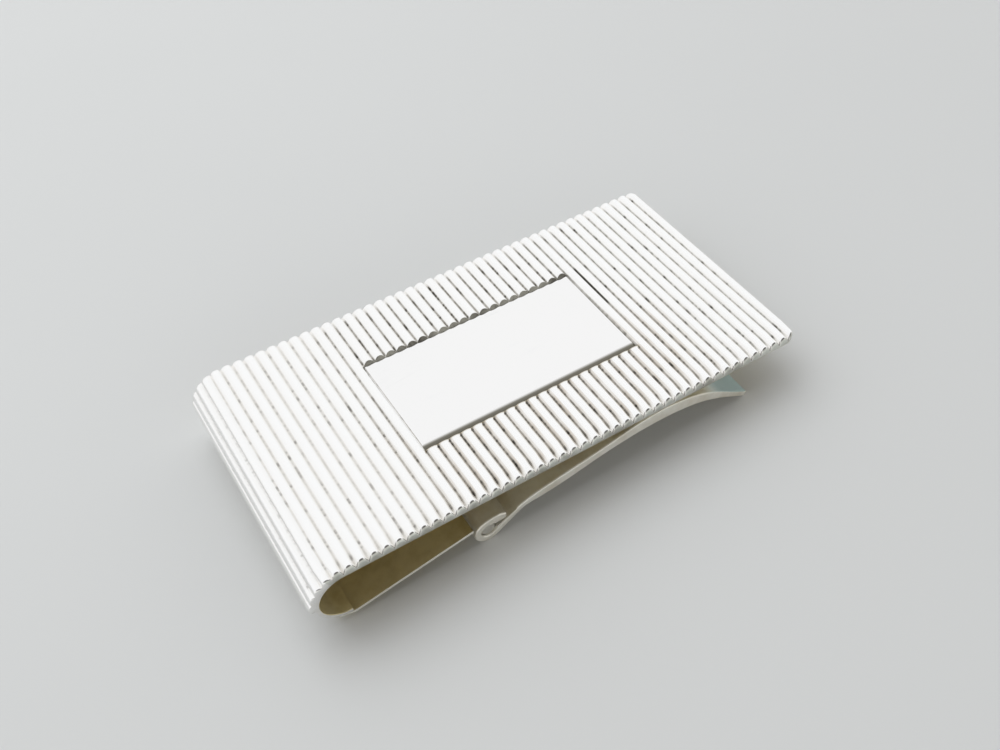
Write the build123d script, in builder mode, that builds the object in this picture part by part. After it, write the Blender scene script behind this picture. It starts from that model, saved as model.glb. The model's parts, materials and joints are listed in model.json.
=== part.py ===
from build123d import *
import os
from math import asin, atan2, cos, degrees, hypot, pi, radians, sin, tan

# Hinged money clip in sterling silver, millimetres, +Z up.
# Every piece is one side profile carried across the width, so all of them are drawn in the
# clip's own side plane: u runs along the plate from the centre of the bend to the free end,
# w runs up from the plate's flat underside.

# Plate
clip_width = 25.4
ribs_across_width = 22.5
rib_pitch = clip_width / ribs_across_width
flat_ribs = 42
bend_ribs = 5
base_thickness = 0.60
rib_height = 0.36
bend_valley_fill = 0.55
bend_inner_radius = 2.5
margin_thickness = 0.40
margin_end_angle = 272
free_corner_radius = 1.25

# Monogram panel
panel_ribs_from_bend = 10
panel_ribs = 20
panel_width = 11.60
panel_thickness = 0.35
panel_top = 0.60
panel_gap = 0.08
panel_edge_break = 0.06

# Back leaf
leaf_thickness = 0.32
leaf_feather = (0.22, 1.5)
leaf_slope = 11.2
leaf_start_angle = 248
leaf_end_u = 11.7
leaf_drop = 4.5
leaf_knuckle_width = 11.0
leaf_wrap_end_angle = -160

# Hinge
pin_u = 13.26
pin_w = -4.35
pin_radius = 0.70
pin_recess = 0.15
pin_end_break = 0.12
pin_grip_gap = 0.01
pin_running_gap = 0.06
knuckle_gap = 0.15

# Arm
curl_thickness = 0.65
curl_swell_angle = 115
curl_under_angle = 40
neck_top_angle = 360
curl_tip = (15.05, -3.12)
curl_tip_thickness = 0.60
curl_end_round = 0.2
neck_slope = 35
neck_length = 2.9
notch_u = 14.85
arm_rest_gap = 0.08
arm_edge_round = 0.15
lip_end_round = 0.22
arm_upper = [(18.4, -2.45), (24.7, -1.25), (31.8, -arm_rest_gap), (37.7, -1.52), (42.2, -4.20)]
arm_lower = [(18.6, -3.40), (24.7, -2.25), (32.3, -1.55), (37.4, -2.50), (41.85, -4.74)]
lip_end_slope = -27

# Sizes that follow
plate_length = flat_ribs * rib_pitch
crown_w = base_thickness + rib_height
bend_centre = (0, -bend_inner_radius)
bend_base_radius = bend_inner_radius + base_thickness
crown_radius = bend_base_radius + rib_height
margin_radius = bend_inner_radius + margin_thickness
rib_angle = degrees(rib_pitch / crown_radius)
pocket_length = panel_ribs * rib_pitch
pocket_middle = (panel_ribs_from_bend + panel_ribs / 2) * rib_pitch
curl_inner_radius = pin_radius + pin_running_gap
curl_outer_radius = curl_inner_radius + curl_thickness
leaf_curl_radius = pin_radius + pin_grip_gap + leaf_thickness
full_depth = 8.0

# The clip lies on its hinge barrel and on the lip of its arm, which tilts the plate a little.
lip_low = arm_lower[-1]
lip_reach = hypot(lip_low[0] - pin_u, lip_low[1] - pin_w)
lip_bearing = atan2(lip_low[1] - pin_w, lip_low[0] - pin_u)
rest_tilt = asin(curl_outer_radius / lip_reach) + lip_bearing


def tilted(u, w):
    """Turn a side-plane point by the rest tilt, about the side plane's origin."""
    return (u * cos(rest_tilt) + w * sin(rest_tilt), w * cos(rest_tilt) - u * sin(rest_tilt))


pin_x, pin_z = tilted(pin_u, pin_w)
bend_x = tilted(*bend_centre)[0] - crown_radius
end_x = tilted(plate_length, base_thickness)[0]
origin_x = -(bend_x + end_x) / 2
origin_z = curl_outer_radius - pin_z

along = (cos(rest_tilt), 0, -sin(rest_tilt))
side = Plane(origin=(origin_x, 0, origin_z), x_dir=along, z_dir=(0, -1, 0))
plan = Plane(origin=(origin_x, 0, origin_z), x_dir=along, z_dir=(sin(rest_tilt), 0, cos(rest_tilt)))


def round_the_bend(radius, angle):
    """Point at a radius and a polar angle about the bend's centre."""
    turn = radians(angle)
    return (bend_centre[0] + radius * cos(turn), bend_centre[1] + radius * sin(turn))


def round_the_pin(radius, angle):
    """Point at a radius and a polar angle about the pin."""
    turn = radians(angle)
    return (pin_u + radius * cos(turn), pin_w + radius * sin(turn))


# One rib, as fractions of its pitch and height: valley, convex flank, rounded crown, flank, valley
rib_shape = [(0, 0), (0.10, 0.52), (0.28, 0.88), (0.5, 1), (0.72, 0.88), (0.90, 0.52), (1, 0)]


def draw_rib(place):
    """Three arcs over one rib; place(along, height) gives the side-plane point."""
    spots = [place(step, height) for step, height in rib_shape]
    ThreePointArc(spots[0], spots[1], spots[2])
    ThreePointArc(spots[2], spots[3], spots[4])
    ThreePointArc(spots[4], spots[5], spots[6])


def flat_place(index):
    """Places of one rib on the flat, counted from the bend."""
    def place(step, height):
        return ((index + 1 - step) * rib_pitch, base_thickness + height * rib_height)
    return place


def bend_place(index):
    """Places of one rib on the bend, counted down from the flat. Stretching made its valleys shallower."""
    def place(step, height):
        depth = 1 - bend_valley_fill * sin(pi * (index + step) / bend_ribs)
        rise = (1 - depth * (1 - height)) * rib_height
        return round_the_bend(bend_base_radius + rise, 90 + (index + step) * rib_angle)
    return place


def build_ribbed_plate():
    """Ribbed sheet: the flat front, bent over into a plain margin that the back leaf is soldered to."""
    last_valley = 90 + bend_ribs * rib_angle
    pocket_floor = panel_top - panel_thickness
    with BuildPart() as ribbed_plate:
        with BuildSketch(side):
            with BuildLine():
                Line((0, 0), (plate_length, 0))
                Line((plate_length, 0), (plate_length, base_thickness))
                for index in reversed(range(flat_ribs)):
                    draw_rib(flat_place(index))
                for index in range(bend_ribs):
                    draw_rib(bend_place(index))
                Line(
                    round_the_bend(bend_base_radius, last_valley),
                    round_the_bend(margin_radius, last_valley),
                )
                CenterArc(bend_centre, margin_radius, last_valley, margin_end_angle - last_valley)
                Line(
                    round_the_bend(margin_radius, margin_end_angle),
                    round_the_bend(bend_inner_radius, margin_end_angle),
                )
                CenterArc(bend_centre, bend_inner_radius, margin_end_angle, 90 - margin_end_angle)
            make_face()
        extrude(amount=clip_width / 2, both=True)
        with BuildSketch(plan.offset(pocket_floor)):
            with Locations((pocket_middle, 0)):
                Rectangle(pocket_length, panel_width)
        extrude(amount=full_depth, mode=Mode.SUBTRACT)
        with BuildSketch(plan.offset(-base_thickness)):
            with Locations((plate_length / 2, 0)):
                Rectangle(plate_length, clip_width + 1)
                Rectangle(plate_length, clip_width, mode=Mode.SUBTRACT)
            for across in (-1, 1):
                corner = (plate_length, across * clip_width / 2)
                round_centre = (corner[0] - free_corner_radius, corner[1] - across * free_corner_radius)
                with Locations(((corner[0] + round_centre[0]) / 2, (corner[1] + round_centre[1]) / 2)):
                    Rectangle(free_corner_radius, free_corner_radius)
                with Locations(round_centre):
                    Circle(free_corner_radius, mode=Mode.SUBTRACT)
        extrude(amount=full_depth, mode=Mode.SUBTRACT)
    return ribbed_plate


def build_monogram_panel():
    """Smooth plate let into the pocket among the ribs."""
    with BuildPart() as monogram_panel:
        with BuildSketch(plan.offset(panel_top - panel_thickness)):
            with Locations((pocket_middle, 0)):
                Rectangle(pocket_length - 2 * panel_gap, panel_width - 2 * panel_gap)
        extrude(amount=panel_thickness)
        upward = Axis(origin=plan.origin, direction=plan.z_dir)
        top_face = monogram_panel.faces().sort_by(upward)[-1]
        chamfer(top_face.edges(), length=panel_edge_break)
    return monogram_panel


def build_back_leaf():
    """Plain leaf: lapped under the bend, rising to the hinge, rolled over the pin at mid-width."""
    leaf_foot = round_the_bend(margin_radius, 270 + leaf_slope)
    knuckle_top = round_the_pin(leaf_curl_radius, 90 - leaf_drop)
    rise = tan(radians(leaf_slope))
    fall = tan(radians(leaf_drop))
    knee_u = (knuckle_top[1] - leaf_foot[1] + knuckle_top[0] * fall + leaf_foot[0] * rise) / (rise + fall)
    knee = (knee_u, knuckle_top[1] + (knuckle_top[0] - knee_u) * fall)
    wrap = leaf_wrap_end_angle - (90 - leaf_drop)
    with BuildPart() as back_leaf:
        with BuildSketch(side):
            with BuildLine() as leaf_line:
                CenterArc(bend_centre, margin_radius, leaf_start_angle, 270 + leaf_slope - leaf_start_angle)
                Line(leaf_foot, knee)
                Line(knee, knuckle_top)
                CenterArc((pin_u, pin_w), leaf_curl_radius, 90 - leaf_drop, wrap)
                offset(leaf_line.line, amount=leaf_thickness, side=Side.RIGHT)
            make_face()
        extrude(amount=clip_width / 2, both=True)
        lap_start = round_the_bend(margin_radius + leaf_thickness, leaf_start_angle)
        lap_edge = back_leaf.edges().filter_by(Axis.Y).sort_by_distance(side.from_local_coords(lap_start))[0]
        end_face = back_leaf.faces().filter_by(GeomType.PLANE).sort_by_distance(lap_edge.center())[0]
        chamfer(lap_edge, length=leaf_feather[0], length2=leaf_feather[1], reference=end_face)
        for across, outward in ((-1, Align.MAX), (1, Align.MIN)):
            with BuildSketch(plan.offset(-full_depth)):
                with Locations((leaf_end_u, across * leaf_knuckle_width / 2)):
                    Rectangle(full_depth, full_depth * 2, align=(Align.MIN, outward))
            extrude(amount=full_depth, mode=Mode.SUBTRACT)
    return back_leaf


def build_hinge_pin():
    """Round pin through all three knuckles, its ends a little inside the outer ones."""
    length = clip_width - 2 * pin_recess
    with BuildPart() as hinge_pin:
        with BuildSketch(side):
            with Locations((pin_u, pin_w)):
                Circle(pin_radius)
        extrude(amount=length / 2, both=True)
        chamfer(hinge_pin.edges().filter_by(GeomType.CIRCLE), length=pin_end_break)
    return hinge_pin


def build_spring_arm():
    """Arm: two curls round the pin, a neck, a bowed blade that meets the plate, and a finger lip."""
    neck_angle = neck_slope - 90 + 360
    curl_swell = round_the_pin(curl_outer_radius, curl_swell_angle)
    curl_swell_way = (sin(radians(curl_swell_angle)), -cos(radians(curl_swell_angle)))
    curl_under = round_the_pin(curl_inner_radius, curl_under_angle)
    curl_tip_low = (curl_tip[0], curl_tip[1] - curl_tip_thickness)
    neck_low = round_the_pin(curl_outer_radius, neck_angle)
    neck_high = round_the_pin(curl_inner_radius, neck_angle)
    start = (cos(radians(neck_slope)), sin(radians(neck_slope)))
    knee_low = (neck_low[0] + neck_length * start[0], neck_low[1] + neck_length * start[1])
    knee_high = (neck_high[0] + neck_length * start[0], neck_high[1] + neck_length * start[1])
    finish = (cos(radians(lip_end_slope)), sin(radians(lip_end_slope)))
    with BuildPart() as spring_arm:
        with BuildSketch(side):
            with BuildLine():
                TangentArc(curl_swell, curl_tip, tangent=curl_swell_way)
                CenterArc((pin_u, pin_w), curl_outer_radius, curl_swell_angle, neck_angle - curl_swell_angle)
                Line(neck_low, knee_low)
                Spline(knee_low, *arm_lower, tangents=[start, finish])
                Line(arm_lower[-1], arm_upper[-1])
                Spline(knee_high, *arm_upper, tangents=[start, finish])
                Line(knee_high, neck_high)
                CenterArc((pin_u, pin_w), curl_inner_radius, neck_angle, curl_under_angle - neck_angle)
                Line(curl_under, curl_tip_low)
                Line(curl_tip_low, curl_tip)
            make_face()
        extrude(amount=clip_width / 2, both=True)
        down_the_arm = Axis(origin=side.origin, direction=side.x_dir)
        cross_edges = spring_arm.edges().filter_by(Axis.Y)
        fillet(cross_edges.sort_by(down_the_arm)[-2:], radius=lip_end_round)
        curl_edges = spring_arm.edges().filter_by(Axis.Y)
        near_tip = curl_edges.filter_by_position(down_the_arm, curl_tip[0] - 0.01, curl_tip[0] + 0.01)
        fillet(near_tip, radius=curl_end_round)
        fillet(spring_arm.edges().filter_by(GeomType.BSPLINE), radius=arm_edge_round)
        with BuildSketch(side):
            with BuildLine():
                CenterArc((pin_u, pin_w), curl_inner_radius, neck_angle, neck_top_angle - neck_angle)
                Line(round_the_pin(curl_inner_radius, neck_top_angle), knee_high)
                Line(knee_high, neck_high)
            make_face()
        extrude(amount=clip_width / 2, both=True)
        with BuildSketch(side):
            with Locations((notch_u, pin_w)):
                Rectangle(full_depth / 2, full_depth, align=(Align.MAX, Align.CENTER))
        extrude(amount=leaf_knuckle_width / 2 + knuckle_gap, both=True, mode=Mode.SUBTRACT)
    return spring_arm


ribbed_plate = build_ribbed_plate()
monogram_panel = build_monogram_panel()
back_leaf = build_back_leaf()
hinge_pin = build_hinge_pin()
spring_arm = build_spring_arm()

ribbed_plate.part.label = "ribbed_plate"
monogram_panel.part.label = "monogram_panel"
back_leaf.part.label = "back_leaf"
hinge_pin.part.label = "hinge_pin"
spring_arm.part.label = "spring_arm"

os.makedirs("parts", exist_ok=True)
export_step(ribbed_plate.part, "parts/ribbed_plate.step")
export_step(monogram_panel.part, "parts/monogram_panel.step")
export_step(back_leaf.part, "parts/back_leaf.step")
export_step(hinge_pin.part, "parts/hinge_pin.step")
export_step(spring_arm.part, "parts/spring_arm.step")

print(f"rest tilt {degrees(rest_tilt):.2f} deg")
print(f"pin axis x {origin_x + pin_x:.3f}  z {origin_z + pin_z:.3f}")
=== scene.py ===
import json
from math import cos, pi, radians, sin
import bpy
import bmesh
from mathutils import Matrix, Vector


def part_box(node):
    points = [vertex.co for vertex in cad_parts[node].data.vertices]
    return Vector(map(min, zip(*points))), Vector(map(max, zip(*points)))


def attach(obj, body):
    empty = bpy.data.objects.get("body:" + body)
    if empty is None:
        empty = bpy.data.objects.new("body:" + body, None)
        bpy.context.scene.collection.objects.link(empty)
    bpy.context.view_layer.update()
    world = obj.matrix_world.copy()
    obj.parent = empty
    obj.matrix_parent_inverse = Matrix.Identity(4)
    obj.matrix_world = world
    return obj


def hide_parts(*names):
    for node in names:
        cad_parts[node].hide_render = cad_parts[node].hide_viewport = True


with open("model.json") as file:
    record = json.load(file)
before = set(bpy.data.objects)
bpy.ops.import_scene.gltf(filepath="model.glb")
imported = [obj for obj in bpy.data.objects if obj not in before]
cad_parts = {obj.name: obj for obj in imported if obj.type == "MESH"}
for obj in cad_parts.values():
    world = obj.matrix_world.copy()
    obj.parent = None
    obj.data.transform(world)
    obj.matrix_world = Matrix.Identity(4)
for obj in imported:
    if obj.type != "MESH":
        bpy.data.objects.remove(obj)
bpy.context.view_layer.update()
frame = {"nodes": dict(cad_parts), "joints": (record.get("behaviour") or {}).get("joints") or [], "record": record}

# ---------------------------------------------------------------- sizes, in millimetres, as in the CAD
MM = 0.001
clip_width = 25.4
rib_pitch = clip_width / 22.5
flat_ribs = 42
bend_ribs = 5
base_thickness = 0.60
rib_height = 0.36
margin_thickness = 0.40
bend_valley_fill = 0.55
bend_inner_radius = 2.5
margin_end_angle = 272
free_corner_radius = 1.25
panel_first_rib = 10
panel_last_rib = 30
panel_width = 11.60
panel_top = 0.60
panel_thickness = 0.35
pin_u = 13.26
pin_w = -4.35

# Finish of the worked edges, which the CAD leaves sharp: how far in from the edge the wear reaches,
# how deep it goes there and, on slopes, the power that shapes it.
near_crown_wear = (0.32, 0.32)
near_valley_wear = (1.50, 0.344, 1.05)
far_crown_wear = (0.30, 0.14)
far_valley_wear = (0.10, 0.08, 1.3)
pocket_near_wear = (0.10, 0.08)
panel_near_slope = (0.92, 0.345, 1.1)
panel_far_roll = (0.06, 0.04)
panel_end_roll = (0.20, 0.08)

# Share of the near crowns' wear that is left at the end of the bend
least_crown_wear = 0.2
# The valleys beside the panel's near edge are partly filled: how far out, and what share of their depth
pocket_near_fill = (0.30, 0.65)
# How far the pocket's far wall leans out, as a share of its height
pocket_far_lean = 0.62
under_edge_round = 0.06
panel_seat_gap = 0.02

# A strip of the mesh that is steeper than this, and this near to an edge, is a rib's end
end_face_steepness = 0.8
end_face_reach = 0.35
# Rib coordinate past which the ends on the bend are as bright as the ribs; below it the rib ends get a darker
# silver as painted shade
last_shaded_end = 1.5

# Fineness of the meshes
samples_per_rib = 20
margin_steps = 40
wear_steps = 8
wear_crowding = 2.2
under_edge_steps = 3
panel_steps = 12
panel_edge_steps = 6
same_place = 0.01
merge_distance = 1e-7
plate_crease_angle = 38
panel_crease_angle = 50
# Places across the width where a plain stretch gets one more point
rim_middle = 9.0
floor_middle = 2.0
panel_middle = [-3.0, -1.0, 1.0, 3.0]

# How far in from the panel's near edge its tarnish and painted dark reflection fade, and back from the tip of the
# finger lip its stain fades
panel_tarnish_and_reflection_fade = (0.55, 0.82)
lip_tone_fade = (6.0, 3.0)
# Length over which the tan seam fades at the panel's corners, in rib counts
seam_end_fade = 0.2
# The long streak: its valley, in rib counts, and where it fades in and out, in pitches across
streak_valley = -31
streak_fade_in = (0.1, 0.5)
streak_fade_out = (5.7, 5.3)

# ---------------------------------------------------------------- colours
CROWN_SILVER = (0.975, 0.97, 0.955, 1)
# The next two colours are darker copies of the polished silver: painted shade on the outer rib ends and the
# pocket's far wall
SHADED_END_SILVER = (0.80, 0.81, 0.76, 1)
PAINTED_SHADE_SILVER = (0.46, 0.45, 0.40, 1)
INSIDE_SILVER = (0.77, 0.68, 0.42, 1)
INSIDE_STAIN = (0.54, 0.45, 0.22, 1)
EDGE_SILVER = (0.95, 0.93, 0.86, 1)
PANEL_SILVER = (0.935, 0.925, 0.91, 1)
PANEL_SCRATCH = (0.78, 0.78, 0.78, 1)
WARM_SILVER = (0.93, 0.91, 0.83, 1)
ARM_STAIN = (0.76, 0.71, 0.60, 1)
LIP_TONE = (0.22, 0.34, 0.33, 1)
PIN_SILVER = (0.78, 0.77, 0.72, 1)
PIN_STAIN = (0.60, 0.57, 0.50, 1)
TAN_TARNISH = (0.62, 0.54, 0.44, 1)
GREY_TARNISH = (0.47, 0.45, 0.41, 1)
# Tarnish and painted dark reflection along the panel's near edge
EDGE_TARNISH_AND_REFLECTION = (0.21, 0.19, 0.135, 1)
SEAM_TARNISH = (0.50, 0.43, 0.30, 1)
DARK_TARNISH = (0.09, 0.08, 0.065, 1)
TABLE_DARKER = (0.695, 0.70, 0.69, 1)
TABLE_LIGHTER = (0.725, 0.73, 0.72, 1)
ROOM_WHITE = (0.975, 0.985, 1.0, 1)
ROOM_GREY = (0.95, 0.95, 0.925, 1)
ROOM_DARK = (0.12, 0.115, 0.11, 1)
WINDOW_WHITE = (0.94, 0.97, 1.0)

# ---------------------------------------------------------------- stage, in metres, watts and degrees
table_size = 1.6
window_place = Vector((-0.055, 0.155, 0.26))
window_width = 0.32
window_height = 0.22
window_power = 0.31
camera_place = (-0.03067, -0.05543, 0.07716)
camera_turn = (40.764, 2.580, -32.221)
camera_lens = 37.18

# ---------------------------------------------------------------- the clip's side plane, from the frame
plate_up = Vector(frame["record"]["mounts"][0]["axis"])
plate_along = Vector((plate_up.z, 0, -plate_up.x))
pin_centre = Vector(frame["joints"][0]["pos_m"])
side_origin = pin_centre - MM * (pin_u * plate_along + pin_w * plate_up)


def place(u, y, w):
    """World point of a place on the clip: u along the plate, y across, w up from its underside."""
    return side_origin + MM * (u * plate_along + Vector((0, y, 0)) + w * plate_up)


plate_length = flat_ribs * rib_pitch
bend_base_radius = bend_inner_radius + base_thickness
crown_radius = bend_base_radius + rib_height
rib_angle = rib_pitch / crown_radius
last_valley_angle = pi / 2 + bend_ribs * rib_angle


def new_piece(name, mesh, body):
    """Link a finished mesh as a piece that rides on a body."""
    piece = bpy.data.objects.new(name, mesh)
    bpy.context.scene.collection.objects.link(piece)
    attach(piece, body)
    return piece


# ---------------------------------------------------------------- ribbed plate


def rib_profile(phase):
    """Height of a rib, 0 in the valleys and 1 on the crown, at a share of its pitch."""
    across = abs(2 * phase - 1)
    return (1 - across**2.1) ** 0.85


def plate_columns():
    """Rib coordinates of the cross-sections: below 0 on the flat, 0 to 5 on the bend, then the margin."""
    ribbed_steps = (flat_ribs + bend_ribs) * samples_per_rib
    columns = [-flat_ribs + step / samples_per_rib for step in range(ribbed_steps + 1)]
    corner = free_corner_radius / rib_pitch
    columns += [-flat_ribs + corner * (1 - sin(radians(angle))) for angle in range(20, 90, 10)]
    margin = (radians(margin_end_angle) - last_valley_angle) / rib_angle
    columns += [bend_ribs + margin * step / margin_steps for step in range(1, margin_steps + 1)]
    return sorted(columns)


def plate_point(k, y, w):
    """World point at a rib coordinate, a place across and a height above the underside."""
    if k <= 0:
        return place(-k * rib_pitch, y, w)
    angle = pi / 2 + k * rib_angle
    radius = bend_inner_radius + w
    return place(radius * cos(angle), y, radius * sin(angle) - bend_inner_radius)


def half_width_at(k):
    """Half the plate's width, less where the free corners are rounded."""
    into_corner = -k * rib_pitch - (plate_length - free_corner_radius)
    if into_corner <= 0:
        return clip_width / 2
    return clip_width / 2 - free_corner_radius + max(free_corner_radius**2 - into_corner**2, 0) ** 0.5


def rolled_drop(roll, inward):
    """How far an edge rolled over in a quarter ellipse (width, depth) has dropped, at a distance in."""
    width, depth = roll
    if inward >= width:
        return 0
    return depth * (1 - (1 - (1 - inward / width) ** 2) ** 0.5)


def sloped_drop(slope, inward):
    """How far an edge worn down to a slope (width, depth, power) has dropped, at a distance in."""
    width, depth, power = slope
    if inward >= width:
        return 0
    return depth * (1 - inward / width) ** power


def outer_edge(half, top, rib, crown_wear, valley_wear):
    """Points from the underside edge up and over the worn outer edge of the plate."""
    line = []
    for step in range(under_edge_steps + 1):
        turn = radians(90 * step / under_edge_steps)
        line.append((half - under_edge_round * (1 - sin(turn)), under_edge_round * (1 - cos(turn))))
    reach = max(crown_wear[0], valley_wear[0])
    for step in range(2 * wear_steps + 1):
        inward = reach * (step / (2 * wear_steps)) ** wear_crowding
        drop = rib * rolled_drop(crown_wear, inward) + (1 - rib) * sloped_drop(valley_wear, inward)
        line.append((half - inward, top - drop))
    return line


def plate_ring(k, in_pocket):
    """One cross-section as (y, w) points, once round from the near underside edge."""
    half = half_width_at(k)
    rib = rib_profile(-k % 1) if k <= bend_ribs else 0
    valley_depth = 1 - bend_valley_fill * sin(pi * k / bend_ribs) if 0 < k < bend_ribs else 1
    if k > bend_ribs:
        top = margin_thickness
    else:
        top = base_thickness + rib_height * (1 - valley_depth * (1 - rib))
    wall = panel_width / 2
    floor = panel_top - panel_thickness if in_pocket else top
    rise = max(top - panel_top, 0) if in_pocket else 0

    # The wear of the near edge fades round the bend, wholly so in the valleys
    fade = min(max(1 - k / bend_ribs, least_crown_wear), 1)
    crown_wear = [size * fade for size in near_crown_wear]
    reach, depth, power = near_valley_wear
    depth *= (fade - least_crown_wear) / (1 - least_crown_wear)
    near = outer_edge(half, top, rib, crown_wear, (reach, depth, power))
    near.append((rim_middle, top))
    reach, share = pocket_near_fill
    for step in range(wear_steps + 1):
        outward = reach * (1 - step / wear_steps)
        fill = share * (base_thickness + rib_height - top) * (1 - outward / reach) if in_pocket else 0
        drop = rolled_drop(pocket_near_wear, outward) if rise > pocket_near_wear[1] else 0
        near.append((wall + outward, top + fill - drop))
    near += [(wall, floor), (floor_middle, floor)]

    far = outer_edge(half, top, rib, far_crown_wear, far_valley_wear)
    far.append((rim_middle, top))
    for step in range(wear_steps + 1):
        fall = step / wear_steps
        far.append((wall + pocket_far_lean * rise * (1 - fall), top - rise * fall))
    far += [(wall, floor), (floor_middle, floor)]
    return [(-y, w) for y, w in near] + list(reversed(far))


def plate_finish(i, ring, half, k):
    """Material of the strip after ring point i: 0 ribbed, 1 inside, 2 pocket's far wall in painted shade, 3 outer
    ends in painted shade.
    """
    if i < under_edge_steps or i >= len(ring) - under_edge_steps - 1:
        return 1
    (y_a, w_a), (y_b, w_b) = ring[i], ring[i + 1]
    steep = abs(w_b - w_a) > end_face_steepness * abs(y_b - y_a)
    if steep and min(abs(y_a), abs(y_b)) > half - end_face_reach:
        return 3 if k < last_shaded_end else 0
    wall = panel_width / 2
    return 2 if steep and wall - same_place < y_b and y_a < wall + end_face_reach else 0


def build_ribbed_plate():
    """The ribbed sheet with rounded rib ends, the pocket for the panel, and a plain inside."""
    mesh = bpy.data.meshes.new("ribbed_plate_fine")
    build = bmesh.new()
    uv = build.loops.layers.uv.new("ribs")
    rings = []
    for k in plate_columns():
        whole = round(k, 6)
        # The pocket's two end walls stand between a pair of sections at one place
        if whole == -panel_last_rib:
            kinds = [False, True]
        elif whole == -panel_first_rib:
            kinds = [True, False]
        else:
            kinds = [-panel_last_rib < whole < -panel_first_rib]
        for in_pocket in kinds:
            points = plate_ring(k, in_pocket)
            rings.append((k, points, [build.verts.new(plate_point(k, y, w)) for y, w in points]))
    count = len(rings[0][1])
    for (k_a, points_a, ring_a), (k_b, points_b, ring_b) in zip(rings, rings[1:]):
        for i in range(count):
            j = (i + 1) % count
            face = build.faces.new((ring_a[i], ring_a[j], ring_b[j], ring_b[i]))
            face.smooth = True
            face.material_index = plate_finish(i, points_a, half_width_at(k_a), k_a)
            spots = ((k_a, points_a[i]), (k_a, points_a[j]), (k_b, points_b[j]), (k_b, points_b[i]))
            for loop, (k, (y, w)) in zip(face.loops, spots):
                loop[uv].uv = (k, y / rib_pitch)
    for ring in (rings[0][2], list(reversed(rings[-1][2]))):
        cap = build.faces.new(list(reversed(ring)))
        for loop in cap.loops:
            loop[uv].uv = (0.5, 0)
    bmesh.ops.remove_doubles(build, verts=build.verts, dist=merge_distance)
    bmesh.ops.dissolve_degenerate(build, dist=merge_distance, edges=build.edges)
    bmesh.ops.recalc_face_normals(build, faces=build.faces)
    build.to_mesh(mesh)
    build.free()
    mesh.set_sharp_from_angle(angle=radians(plate_crease_angle))
    return mesh


# ---------------------------------------------------------------- monogram panel


def inward_steps(roll):
    """Distances in from an edge that follow its roll evenly, edge first."""
    turns = [radians(90 * step / panel_edge_steps) for step in range(panel_edge_steps + 1)]
    return [roll[0] * (1 - cos(turn)) for turn in turns]


def build_monogram_panel():
    """The smooth panel, polished over at its edges and most of all along its near one."""
    first = panel_first_rib * rib_pitch + panel_seat_gap
    last = panel_last_rib * rib_pitch - panel_seat_gap
    half = panel_width / 2 - panel_seat_gap
    ends = inward_steps(panel_end_roll)
    us = [first + inward for inward in ends]
    us += [first + (last - first) * step / panel_steps for step in range(1, panel_steps)]
    us += [last - inward for inward in reversed(ends)]
    ys = [-half + panel_near_slope[0] * step / panel_steps for step in range(panel_steps + 1)]
    ys += panel_middle
    ys += [half - inward for inward in reversed(inward_steps(panel_far_roll))]
    bottom = panel_top - panel_thickness
    mesh = bpy.data.meshes.new("monogram_panel_fine")
    build = bmesh.new()

    def top(u, y):
        drops = (
            sloped_drop(panel_near_slope, y + half),
            rolled_drop(panel_far_roll, half - y),
            rolled_drop(panel_end_roll, u - first),
            rolled_drop(panel_end_roll, last - u),
        )
        return panel_top - max(drops)

    upper = [[build.verts.new(place(u, y, top(u, y))) for y in ys] for u in us]
    lower = [[build.verts.new(place(u, y, bottom)) for y in (ys[0], ys[-1])] for u in (us[0], us[-1])]
    for column, next_column in zip(upper, upper[1:]):
        for i in range(len(ys) - 1):
            build.faces.new((column[i], next_column[i], next_column[i + 1], column[i + 1])).smooth = True
    near_rim = [column[0] for column in upper]
    far_rim = [column[-1] for column in upper]
    build.faces.new([lower[0][0], lower[1][0]] + list(reversed(near_rim)))
    build.faces.new([lower[1][1], lower[0][1]] + far_rim)
    build.faces.new([lower[0][1], lower[0][0]] + upper[0])
    build.faces.new([lower[1][0], lower[1][1]] + list(reversed(upper[-1])))
    build.faces.new((lower[0][0], lower[0][1], lower[1][1], lower[1][0]))
    bmesh.ops.recalc_face_normals(build, faces=build.faces)
    build.to_mesh(mesh)
    build.free()
    mesh.set_sharp_from_angle(angle=radians(panel_crease_angle))
    return mesh


# ---------------------------------------------------------------- materials


def new_material(name):
    """A node material and its shader, ready for more nodes."""
    material = bpy.data.materials.new(name)
    material.use_nodes = True
    tree = material.node_tree
    return material, tree, tree.nodes["Principled BSDF"]


def add_node(tree, kind, **settings):
    """A new node with some of its settings and input values."""
    node = tree.nodes.new(kind)
    for key, value in settings.items():
        if key in node.inputs:
            node.inputs[key].default_value = value
        else:
            setattr(node, key, value)
    return node


def math(tree, operation, a, b=0.0):
    """A maths node on sockets or numbers; gives its output socket."""
    node = tree.nodes.new("ShaderNodeMath")
    node.operation = operation
    for socket, value in zip(node.inputs, (a, b)):
        if isinstance(value, bpy.types.NodeSocket):
            tree.links.new(value, socket)
        else:
            socket.default_value = value
    return node.outputs[0]


def times(tree, *values):
    """Product of sockets and numbers."""
    product = values[0]
    for value in values[1:]:
        product = math(tree, "MULTIPLY", product, value)
    return product


def ramp(tree, value, low, high):
    """0 below low and 1 above high, smooth between."""
    node = tree.nodes.new("ShaderNodeMapRange")
    node.interpolation_type = "SMOOTHSTEP"
    tree.links.new(value, node.inputs["Value"])
    node.inputs["From Min"].default_value = low
    node.inputs["From Max"].default_value = high
    return node.outputs["Result"]


def mix(tree, share, a, b):
    """Colour a turning to colour b as share goes from 0 to 1."""
    node = tree.nodes.new("ShaderNodeMix")
    node.data_type = "RGBA"
    slots = [s for s in node.inputs if s.enabled]
    for socket, value in zip(slots, (share, a, b)):
        if isinstance(value, bpy.types.NodeSocket):
            tree.links.new(value, socket)
        else:
            socket.default_value = value
    return [s for s in node.outputs if s.enabled][0]


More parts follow.
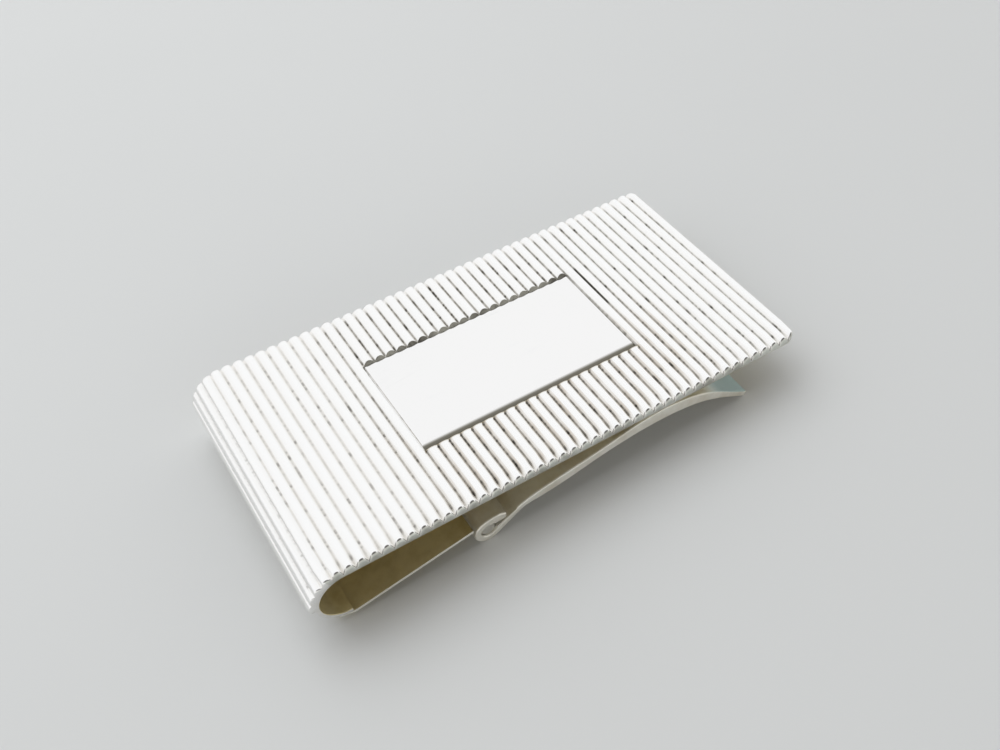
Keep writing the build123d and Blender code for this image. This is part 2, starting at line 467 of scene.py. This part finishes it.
def noise(tree, vector, scale, detail=2.0, roughness=0.5):
    """A noise value on a vector socket."""
    node = tree.nodes.new("ShaderNodeTexNoise")
    tree.links.new(vector, node.inputs["Vector"])
    node.inputs["Scale"].default_value = scale
    node.inputs["Detail"].default_value = detail
    node.inputs["Roughness"].default_value = roughness
    return node.outputs["Fac"]


def ribbed_silver():
    """Polished crowns, and valleys with a grey line and, beside it, a tan stain on the next rib's foot."""
    material, tree, shader = new_material("ribbed_silver")
    uv = add_node(tree, "ShaderNodeUVMap", uv_map="ribs")
    split = add_node(tree, "ShaderNodeSeparateXYZ")
    tree.links.new(uv.outputs[0], split.inputs[0])
    k = split.outputs["X"]
    y = split.outputs["Y"]
    valley = math(tree, "ROUND", k)
    offset = math(tree, "SUBTRACT", k, valley)
    beside = math(tree, "ABSOLUTE", offset)

    # Slow and fast changes along each valley, different from valley to valley
    run = add_node(tree, "ShaderNodeCombineXYZ")
    tree.links.new(math(tree, "MULTIPLY", valley, 7.31), run.inputs["X"])
    tree.links.new(y, run.inputs["Y"])
    slow = noise(tree, run.outputs[0], 0.35, 2.0)
    fast = noise(tree, run.outputs[0], 1.3, 4.0, 0.7)
    grain = noise(tree, uv.outputs[0], 9.0, 3.0, 0.6)

    # Where on the plate the oxide sits: little by the bend, most beside the panel and along the near half
    from_bend = ramp(tree, math(tree, "MULTIPLY", k, -1.0), 5.0, 13.0)
    near_half = ramp(tree, math(tree, "MULTIPLY", y, -1.0), -3.0, 6.0)
    before_end = ramp(tree, k, -37.0, -31.0)
    across = math(tree, "ABSOLUTE", y)
    burnished = math(tree, "SUBTRACT", 1.0, ramp(tree, across, 10.2, 11.0))

    # The grey line in the bottom of the valley, with darker runs in it
    line_width = math(tree, "ADD", 0.055, times(tree, slow, 0.05))
    in_line = math(tree, "SUBTRACT", 1.0, ramp(tree, math(tree, "DIVIDE", beside, line_width), 0.6, 1.5))
    away_from_bend = math(tree, "ADD", 0.50, times(tree, before_end, 0.22))
    line_place = math(tree, "ADD", 0.18, times(tree, from_bend, away_from_bend))
    broken = math(tree, "ADD", 0.50, times(tree, ramp(tree, fast, 0.40, 0.60), 0.50))
    line = times(tree, in_line, line_place, broken, burnished)
    run_strength = times(tree, ramp(tree, fast, 0.50, 0.66), ramp(tree, slow, 0.35, 0.60))
    in_run = math(tree, "SUBTRACT", 1.0, ramp(tree, beside, 0.05, 0.13))
    run_place = math(tree, "ADD", 0.35, times(tree, from_bend, 0.5))
    dark = times(tree, in_run, run_strength, run_place, burnished)

    # One long black streak, in the valley just past the panel
    in_streak = math(tree, "COMPARE", valley, streak_valley)
    along = times(tree, ramp(tree, y, *streak_fade_in), ramp(tree, y, *streak_fade_out))
    streak = times(tree, in_streak, along, in_run, math(tree, "ADD", 0.55, times(tree, fast, 0.6)))

    # The stain on the side of the rib that faces back to the bend
    foot = math(tree, "MULTIPLY", offset, -1.0)
    foot_width = math(tree, "ADD", 0.10, times(tree, near_half, 0.12))
    in_foot = math(tree, "SUBTRACT", 1.0, ramp(tree, math(tree, "DIVIDE", foot, foot_width), 0.7, 1.2))
    on_foot = math(tree, "MULTIPLY", in_foot, ramp(tree, foot, -0.06, 0.0))
    stain_strength = math(tree, "ADD", 0.40, times(tree, ramp(tree, slow, 0.35, 0.65), 0.45))
    stain_place = math(tree, "ADD", 0.12, times(tree, near_half, before_end, 0.75))
    stain = times(tree, on_foot, stain_strength, stain_place, from_bend, burnished)

    # The tan seam along the panel's near edge
    wall = panel_width / 2 / rib_pitch
    by_wall = math(tree, "ABSOLUTE", math(tree, "ADD", y, wall))
    past_last = ramp(tree, k, -panel_last_rib - seam_end_fade, -panel_last_rib)
    before_first = ramp(tree, k, -panel_first_rib + seam_end_fade, -panel_first_rib)
    on_seam = math(tree, "SUBTRACT", 1.0, ramp(tree, by_wall, 0.04, 0.16))
    seam = times(tree, on_seam, past_last, before_first, 0.8)

    # A thin film that dulls the flanks a little
    film = times(tree, ramp(tree, beside, 0.45, 0.10), grain, 0.16)

    colour = mix(tree, film, CROWN_SILVER, TAN_TARNISH)
    colour = mix(tree, stain, colour, TAN_TARNISH)
    colour = mix(tree, line, colour, GREY_TARNISH)
    colour = mix(tree, dark, colour, DARK_TARNISH)
    colour = mix(tree, streak, colour, DARK_TARNISH)
    colour = mix(tree, seam, colour, SEAM_TARNISH)
    tree.links.new(colour, shader.inputs["Base Color"])
    shader.inputs["Metallic"].default_value = 1.0
    rough = math(tree, "ADD", 0.16, math(tree, "ADD", times(tree, line, 0.25), times(tree, stain, 0.2)))
    tree.links.new(rough, shader.inputs["Roughness"])
    return material


def panel_silver():
    """Mirror polish worn by fine slanting scratches, darkened along its near edge by tarnish and a painted dark
    reflection.
    """
    material, tree, shader = new_material("panel_silver")
    where = add_node(tree, "ShaderNodeTexCoord").outputs["Object"]
    turned = add_node(tree, "ShaderNodeMapping")
    tree.links.new(where, turned.inputs["Vector"])
    turned.inputs["Rotation"].default_value = (0, 0, radians(62))
    turned.inputs["Scale"].default_value = (260, 9000, 260)
    scratches = noise(tree, turned.outputs[0], 1.0, 3.0, 0.6)
    patches = noise(tree, where, 220.0, 2.0)
    worn = times(tree, ramp(tree, scratches, 0.58, 0.72), ramp(tree, patches, 0.45, 0.70))
    colour = mix(tree, math(tree, "MULTIPLY", worn, 0.45), PANEL_SILVER, PANEL_SCRATCH)
    split = add_node(tree, "ShaderNodeSeparateXYZ")
    tree.links.new(where, split.inputs[0])
    # Along the near edge the panel is darkened: partly tarnish, partly painted dark reflection
    near_edge = MM * (panel_seat_gap - panel_width / 2)
    in_from_edge = math(tree, "SUBTRACT", split.outputs["Y"], near_edge)
    fade_start, fade_end = panel_tarnish_and_reflection_fade
    margin = math(tree, "SUBTRACT", 1.0, ramp(tree, in_from_edge, fade_start * MM, fade_end * MM))
    colour = mix(tree, math(tree, "MULTIPLY", margin, 0.85), colour, EDGE_TARNISH_AND_REFLECTION)
    tree.links.new(colour, shader.inputs["Base Color"])
    shader.inputs["Metallic"].default_value = 1.0
    tree.links.new(math(tree, "ADD", 0.10, times(tree, worn, 0.15)), shader.inputs["Roughness"])
    bump = add_node(tree, "ShaderNodeBump", Strength=0.05, Distance=0.00002)
    tree.links.new(scratches, bump.inputs["Height"])
    tree.links.new(bump.outputs[0], shader.inputs["Normal"])
    return material


def plain_silver(name, colour, stained, roughness, metallic=1.0):
    """Sheet or wire silver with cloudy toning and fine drawing marks."""
    material, tree, shader = new_material(name)
    where = add_node(tree, "ShaderNodeTexCoord").outputs["Object"]
    clouds = noise(tree, where, 320.0, 4.0, 0.6)
    specks = noise(tree, where, 2600.0, 3.0, 0.6)
    tone = mix(tree, ramp(tree, clouds, 0.35, 0.75), colour, stained)
    tone = mix(tree, times(tree, ramp(tree, specks, 0.55, 0.80), 0.35), tone, stained)
    tree.links.new(tone, shader.inputs["Base Color"])
    shader.inputs["Metallic"].default_value = metallic
    tree.links.new(math(tree, "ADD", roughness, times(tree, specks, 0.12)), shader.inputs["Roughness"])
    return material, tree, shader, tone


def leaf_silver():
    """The back leaf's silver: toned like the inside of the plate, but rubbed bright on its edges."""
    material, tree, shader, tone = plain_silver("leaf_silver", INSIDE_SILVER, INSIDE_STAIN, 0.3, 0.6)
    facing = add_node(tree, "ShaderNodeSeparateXYZ")
    tree.links.new(add_node(tree, "ShaderNodeTexCoord").outputs["Normal"], facing.inputs[0])
    on_edge = ramp(tree, math(tree, "ABSOLUTE", facing.outputs["Y"]), 0.5, 0.8)
    tree.links.new(mix(tree, on_edge, tone, EDGE_SILVER), shader.inputs["Base Color"])
    return material


def arm_silver():
    """The arm's silver, which has toned blue-green on the upper side of the finger lip."""
    material, tree, shader, tone = plain_silver("arm_silver", WARM_SILVER, ARM_STAIN, 0.25, 0.6)
    where = add_node(tree, "ShaderNodeTexCoord").outputs["Object"]
    place_on_arm = add_node(tree, "ShaderNodeSeparateXYZ")
    tree.links.new(where, place_on_arm.inputs[0])
    facing = add_node(tree, "ShaderNodeSeparateXYZ")
    tree.links.new(add_node(tree, "ShaderNodeTexCoord").outputs["Normal"], facing.inputs[0])
    lip_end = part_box("spring_arm")[1][0]
    fade_start, fade_end = lip_tone_fade
    on_lip = ramp(tree, place_on_arm.outputs["X"], lip_end - fade_start * MM, lip_end - fade_end * MM)
    upward = ramp(tree, facing.outputs["Z"], 0.3, 0.7)
    toned = mix(tree, times(tree, on_lip, upward, 0.85), tone, LIP_TONE)
    tree.links.new(toned, shader.inputs["Base Color"])
    return material


# ---------------------------------------------------------------- pieces

plate = new_piece("ribbed_plate_fine", build_ribbed_plate(), "clip")
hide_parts("ribbed_plate")
plate.data.materials.append(ribbed_silver())
plate.data.materials.append(plain_silver("plate_inside", INSIDE_SILVER, INSIDE_STAIN, 0.3, 0.6)[0])
# The pocket's far wall and the outer rib ends take darker silver: painted shade
plate.data.materials.append(plain_silver("pocket_wall_painted_shade", PAINTED_SHADE_SILVER, DARK_TARNISH, 0.45)[0])
plate.data.materials.append(plain_silver("rib_ends_painted_shade", SHADED_END_SILVER, PAINTED_SHADE_SILVER, 0.25)[0])

panel = new_piece("monogram_panel_fine", build_monogram_panel(), "clip")
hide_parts("monogram_panel")
panel.data.materials.append(panel_silver())

for node, material in (
    ("back_leaf", leaf_silver()),
    ("hinge_pin", plain_silver("pin_silver", PIN_SILVER, PIN_STAIN, 0.3)[0]),
    ("spring_arm", arm_silver()),
):
    frame["nodes"][node].data.materials.clear()
    frame["nodes"][node].data.materials.append(material)

# ---------------------------------------------------------------- floor, light and camera


def build_floor():
    """A pale table top, faintly uneven."""
    bpy.ops.mesh.primitive_plane_add(size=table_size, location=(0, 0, 0))
    floor = bpy.context.object
    floor.name = "floor"
    material, tree, shader = new_material("table_white")
    where = add_node(tree, "ShaderNodeTexCoord").outputs["Object"]
    cloud = noise(tree, where, 14.0, 2.0)
    colour = mix(tree, cloud, TABLE_DARKER, TABLE_LIGHTER)
    tree.links.new(colour, shader.inputs["Base Color"])
    shader.inputs["Roughness"].default_value = 0.55
    floor.data.materials.append(material)


def build_room():
    """Soft white room: bright behind and to the sides, greyer on the near side and dark above it."""
    world = bpy.data.worlds.new("room")
    bpy.context.scene.world = world
    world.use_nodes = True
    tree = world.node_tree
    background = tree.nodes["Background"]
    way = add_node(tree, "ShaderNodeTexCoord").outputs["Generated"]
    split = add_node(tree, "ShaderNodeSeparateXYZ")
    tree.links.new(way, split.inputs[0])
    toward = math(tree, "MULTIPLY", split.outputs["Y"], -1.0)
    near_side = ramp(tree, toward, -0.02, 0.22)
    overhead = ramp(tree, split.outputs["Z"], 0.28, 0.62)
    colour = mix(tree, near_side, ROOM_WHITE, ROOM_GREY)
    colour = mix(tree, times(tree, near_side, overhead), colour, ROOM_DARK)
    tree.links.new(colour, background.inputs["Color"])


def build_window():
    """A wide soft light on the far side, which lays the shadow towards the viewer."""
    data = bpy.data.lights.new("window", "AREA")
    data.shape = "RECTANGLE"
    data.size = window_width
    data.size_y = window_height
    data.energy = window_power
    data.color = WINDOW_WHITE
    light = bpy.data.objects.new("window", data)
    bpy.context.scene.collection.objects.link(light)
    light.visible_glossy = False
    light.location = window_place
    light.rotation_euler = (-window_place).to_track_quat("-Z", "Y").to_euler()


def build_camera():
    """Hand-held view from above the near left corner."""
    data = bpy.data.cameras.new("camera")
    data.lens = camera_lens
    data.sensor_width = 36
    data.clip_start = 0.005
    camera = bpy.data.objects.new("camera", data)
    bpy.context.scene.collection.objects.link(camera)
    camera.location = camera_place
    camera.rotation_euler = [radians(angle) for angle in camera_turn]
    bpy.context.scene.camera = camera


build_floor()
build_room()
build_window()
build_camera()
bpy.context.scene.view_settings.view_transform = "Standard"
